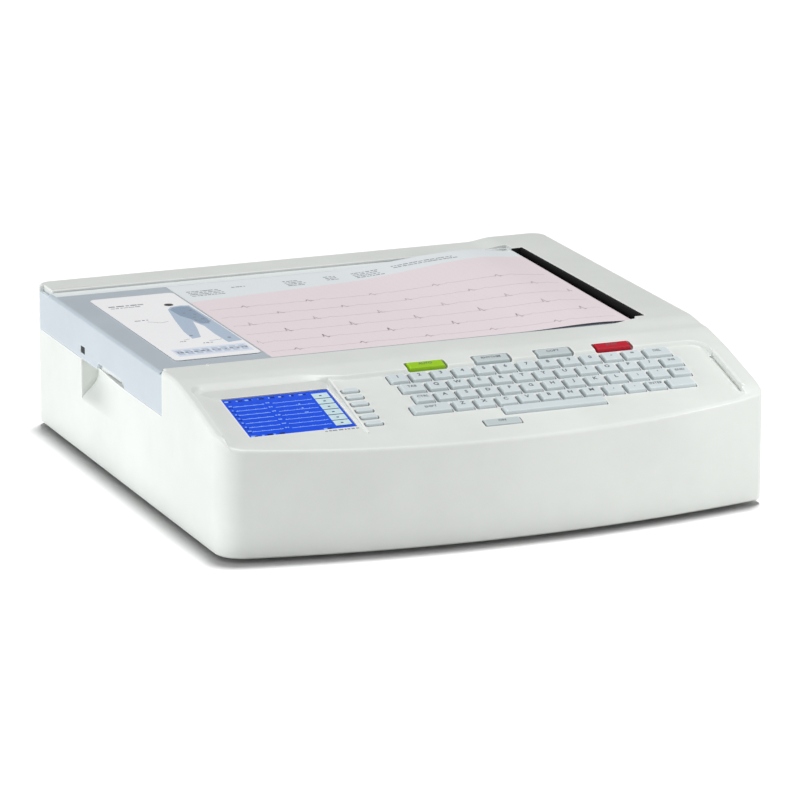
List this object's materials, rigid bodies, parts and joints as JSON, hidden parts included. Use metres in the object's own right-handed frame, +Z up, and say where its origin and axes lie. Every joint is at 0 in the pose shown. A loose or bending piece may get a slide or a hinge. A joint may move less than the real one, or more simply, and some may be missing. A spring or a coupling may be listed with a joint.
{
  "type": "electrocardiograph",
  "caption": "Desktop ECG machine with a sloped keyboard deck, sunk blue screen, coloured function keys and a writer cover that slides aside over its chart paper.",
  "frame": {"origin": "centre of the overall box at the level the feet stand on", "axes": "+X to the right of someone at the keyboard, +Y to the rear, +Z up"},
  "size_m": [0.396, 0.4123, 0.1072],
  "materials": {
    "housing_plastic": "fine matt texture",
    "cover_plastic": "smooth, slightly translucent blue-grey",
    "key_rubber": "matt elastomer",
    "green_key": "matt elastomer",
    "red_key": "matt elastomer",
    "grey_key": "matt elastomer",
    "black_plastic": "matt",
    "black_rubber": "matt",
    "steel": "plain sheet and turned steel",
    "aluminium": "extruded",
    "circuit_board": "green solder mask",
    "paper": "chart paper with a faint pink grid",
    "card": "coated white card",
    "screen_glass": "clear window over a blue display",
    "gear_plastic": "moulded nylon",
    "brass": "turned"
  },
  "bodies": {
    "housing": {"top_housing": "housing_plastic", "base_plate": "housing_plastic", "paper_tray": "housing_plastic", "foot_front_left": "black_rubber", "foot_front_right": "black_rubber", "foot_rear_left": "black_rubber", "foot_rear_right": "black_rubber", "base_screw_1": "steel", "base_screw_2": "steel", "base_screw_3": "steel", "base_screw_4": "steel", "battery_bracket": "steel", "writer_frame": "steel", "drive_motor": "steel", "idler_post": "steel", "network_port": "steel", "usb_port": "steel", "ecg_input_connector": "steel", "lcd_window": "screen_glass", "lcd_module": "black_plastic", "battery_pack": "black_plastic", "printhead": "black_plastic", "tear_bar": "black_plastic", "speaker": "black_plastic", "mains_inlet": "black_plastic", "keypad_board": "circuit_board", "main_board": "circuit_board", "keypad_mat": "key_rubber", "power_supply": "aluminium", "printhead_heatsink": "aluminium", "rail_front": "aluminium", "rail_rear": "aluminium", "paper_stack": "paper"},
    "cover": {"writer_cover": "cover_plastic", "label_card": "card", "paper_sheet": "paper", "latch_pin": "steel", "latch_spring": "steel"},
    "platen": {"platen_shaft": "steel", "platen_roller": "black_rubber", "platen_gear": "gear_plastic"},
    "idler": {"idler_gear": "gear_plastic"},
    "pinion": {"motor_pinion": "brass"},
    "latch": {"latch_lever": "housing_plastic"},
    "key_row_numbers_body": {"key_row_numbers": "key_rubber"},
    "key_row_upper_body": {"key_row_upper": "key_rubber"},
    "key_row_middle_body": {"key_row_middle": "key_rubber"},
    "key_row_lower_body": {"key_row_lower": "key_rubber"},
    "key_green_auto_body": {"key_green_auto": "green_key"},
    "key_grey_rhythm_body": {"key_grey_rhythm": "grey_key"},
    "key_grey_copy_body": {"key_grey_copy": "grey_key"},
    "key_red_stop_body": {"key_red_stop": "red_key"},
    "space_bar_body": {"space_bar": "key_rubber"},
    "power_key_body": {"power_key": "grey_key"},
    "soft_key_1_body": {"soft_key_1": "key_rubber"},
    "soft_key_2_body": {"soft_key_2": "key_rubber"},
    "soft_key_3_body": {"soft_key_3": "key_rubber"},
    "soft_key_4_body": {"soft_key_4": "key_rubber"},
    "soft_key_5_body": {"soft_key_5": "key_rubber"},
    "soft_key_6_body": {"soft_key_6": "key_rubber"}
  },
  "joints": [
    {"name": "writer_slide", "type": "slide", "parent": "housing", "child": "cover", "axis": [-1, 0, 0], "range_m": [0, 0.12]},
    {"name": "platen_spin", "type": "hinge", "parent": "cover", "child": "platen", "pos_m": [0.15, 0.055, 0.091], "axis": [0, 1, 0], "continuous": true},
    {"name": "idler_spin", "type": "hinge", "parent": "housing", "child": "idler", "pos_m": [0.166, 0.172, 0.091], "axis": [0, 1, 0], "continuous": true},
    {"name": "pinion_spin", "type": "hinge", "parent": "housing", "child": "pinion", "pos_m": [0.166, 0.172, 0.0774], "axis": [0, 1, 0], "continuous": true},
    {"name": "latch_turn", "type": "hinge", "parent": "cover", "child": "latch", "pos_m": [-0.1926, 0.042, 0.084], "axis": [0, -1, 0], "range_deg": [0, 12], "stiffness_Nm_per_rad": 0.02, "springref_deg": -11.46, "deforming": ["latch_spring"]},
    {"name": "key_row_numbers_press", "type": "slide", "parent": "housing", "child": "key_row_numbers_body", "axis": [0, 0.2577, -0.9662], "range_m": [0, 0.0012], "stiffness_N_per_m": 700, "springref_m": -0.001},
    {"name": "key_row_upper_press", "type": "slide", "parent": "housing", "child": "key_row_upper_body", "axis": [0, 0.2577, -0.9662], "range_m": [0, 0.0012], "stiffness_N_per_m": 700, "springref_m": -0.001},
    {"name": "key_row_middle_press", "type": "slide", "parent": "housing", "child": "key_row_middle_body", "axis": [0, 0.2577, -0.9662], "range_m": [0, 0.0012], "stiffness_N_per_m": 700, "springref_m": -0.001},
    {"name": "key_row_lower_press", "type": "slide", "parent": "housing", "child": "key_row_lower_body", "axis": [0, 0.2577, -0.9662], "range_m": [0, 0.0012], "stiffness_N_per_m": 700, "springref_m": -0.001},
    {"name": "key_green_auto_press", "type": "slide", "parent": "housing", "child": "key_green_auto_body", "axis": [0, 0.2577, -0.9662], "range_m": [0, 0.0012], "stiffness_N_per_m": 250, "springref_m": -0.001},
    {"name": "key_grey_rhythm_press", "type": "slide", "parent": "housing", "child": "key_grey_rhythm_body", "axis": [0, 0.2577, -0.9662], "range_m": [0, 0.0012], "stiffness_N_per_m": 250, "springref_m": -0.001},
    {"name": "key_grey_copy_press", "type": "slide", "parent": "housing", "child": "key_grey_copy_body", "axis": [0, 0.2577, -0.9662], "range_m": [0, 0.0012], "stiffness_N_per_m": 250, "springref_m": -0.001},
    {"name": "key_red_stop_press", "type": "slide", "parent": "housing", "child": "key_red_stop_body", "axis": [0, 0.2577, -0.9662], "range_m": [0, 0.0012], "stiffness_N_per_m": 250, "springref_m": -0.001},
    {"name": "space_bar_press", "type": "slide", "parent": "housing", "child": "space_bar_body", "axis": [0, 0.2577, -0.9662], "range_m": [0, 0.0012], "stiffness_N_per_m": 250, "springref_m": -0.001},
    {"name": "power_key_press", "type": "slide", "parent": "housing", "child": "power_key_body", "axis": [0, 0.2577, -0.9662], "range_m": [0, 0.0012], "stiffness_N_per_m": 250, "springref_m": -0.001},
    {"name": "soft_key_1_press", "type": "slide", "parent": "housing", "child": "soft_key_1_body", "axis": [0, 0.2577, -0.9662], "range_m": [0, 0.0012], "stiffness_N_per_m": 250, "springref_m": -0.001},
    {"name": "soft_key_2_press", "type": "slide", "parent": "housing", "child": "soft_key_2_body", "axis": [0, 0.2577, -0.9662], "range_m": [0, 0.0012], "stiffness_N_per_m": 250, "springref_m": -0.001},
    {"name": "soft_key_3_press", "type": "slide", "parent": "housing", "child": "soft_key_3_body", "axis": [0, 0.2577, -0.9662], "range_m": [0, 0.0012], "stiffness_N_per_m": 250, "springref_m": -0.001},
    {"name": "soft_key_4_press", "type": "slide", "parent": "housing", "child": "soft_key_4_body", "axis": [0, 0.2577, -0.9662], "range_m": [0, 0.0012], "stiffness_N_per_m": 250, "springref_m": -0.001},
    {"name": "soft_key_5_press", "type": "slide", "parent": "housing", "child": "soft_key_5_body", "axis": [0, 0.2577, -0.9662], "range_m": [0, 0.0012], "stiffness_N_per_m": 250, "springref_m": -0.001},
    {"name": "soft_key_6_press", "type": "slide", "parent": "housing", "child": "soft_key_6_body", "axis": [0, 0.2577, -0.9662], "range_m": [0, 0.0012], "stiffness_N_per_m": 250, "springref_m": -0.001}
  ],
  "couplings": [
    {"joint": "idler_spin", "follows": "platen_spin", "ratio": -0.81818},
    {"joint": "pinion_spin", "follows": "platen_spin", "ratio": 1.5}
  ]
}
